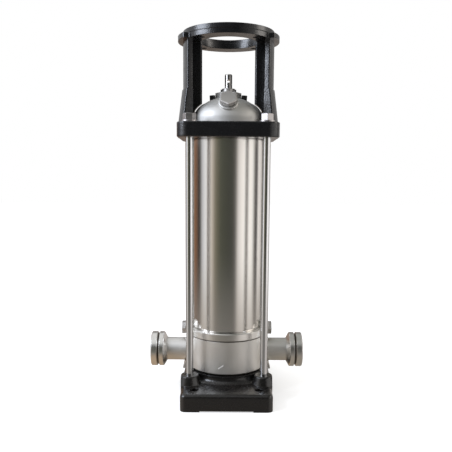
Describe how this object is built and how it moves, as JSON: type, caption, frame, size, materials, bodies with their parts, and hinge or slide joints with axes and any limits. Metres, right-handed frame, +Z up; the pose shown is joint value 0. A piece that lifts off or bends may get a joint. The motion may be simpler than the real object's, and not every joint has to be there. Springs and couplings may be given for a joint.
{
  "type": "vertical multistage pump",
  "caption": "Vertical in-line multistage centrifugal pump without its motor: foot plate, nozzle casting, sleeve, dome head, motor stool, and a stack of chambers and impellers.",
  "frame": {"origin": "centre of the base plate's underside, on the shaft's axis", "axes": "+Z up along the shaft, towards the motor seat; +X along the nozzles, towards the discharge; the vent plug faces -Y"},
  "size_m": [0.2508, 0.226, 0.578],
  "materials": {
    "painted_cast_iron": "satin",
    "cast_stainless": "satin",
    "machined_stainless": "satin",
    "sheet_stainless": "satin",
    "zinc_plated_steel": "satin",
    "shaft_stainless": "gloss",
    "seal_carbide": "gloss",
    "black_rubber": "matte",
    "black_steel": "satin"
  },
  "bodies": {
    "pump_body": {"base_plate": "painted_cast_iron", "pump_base": "cast_stainless", "base_oring": "black_rubber", "gauge_plugs": "machined_stainless", "outer_sleeve": "sheet_stainless", "pump_head": "cast_stainless", "head_oring": "black_rubber", "vent_plug": "machined_stainless", "vent_plug_seal": "black_rubber", "cap_screws": "black_steel", "motor_stool": "painted_cast_iron", "stay_bolts": "zinc_plated_steel", "stay_washers": "zinc_plated_steel", "stay_nuts": "zinc_plated_steel", "inlet_part": "sheet_stainless", "lower_bearing": "seal_carbide", "outlet_part": "sheet_stainless", "upper_bearing": "seal_carbide", "tension_straps": "sheet_stainless", "seal_housing": "machined_stainless", "seal_seat": "seal_carbide", "chamber_01": "sheet_stainless", "chamber_02": "sheet_stainless", "chamber_03": "sheet_stainless", "chamber_04": "sheet_stainless", "chamber_05": "sheet_stainless", "chamber_06": "sheet_stainless", "chamber_07": "sheet_stainless", "chamber_08": "sheet_stainless", "chamber_09": "sheet_stainless", "chamber_10": "sheet_stainless", "chamber_11": "sheet_stainless", "chamber_12": "sheet_stainless"},
    "rotor": {"shaft": "shaft_stainless", "shaft_spacers": "shaft_stainless", "lower_journal": "seal_carbide", "upper_journal": "seal_carbide", "shaft_nut": "machined_stainless", "shaft_washer": "machined_stainless", "clamp_ring": "machined_stainless", "seal_ring": "seal_carbide", "seal_bellows": "black_rubber", "drive_collar": "machined_stainless", "drive_screws": "black_steel", "impeller_01": "sheet_stainless", "impeller_02": "sheet_stainless", "impeller_03": "sheet_stainless", "impeller_04": "sheet_stainless", "impeller_05": "sheet_stainless", "impeller_06": "sheet_stainless", "impeller_07": "sheet_stainless", "impeller_08": "sheet_stainless", "impeller_09": "sheet_stainless", "impeller_10": "sheet_stainless", "impeller_11": "sheet_stainless", "impeller_12": "sheet_stainless"}
  },
  "joints": [
    {"name": "shaft_spin", "type": "hinge", "parent": "pump_body", "child": "rotor", "pos_m": [0, 0, 0.3], "axis": [0, 0, 1], "continuous": true}
  ]
}
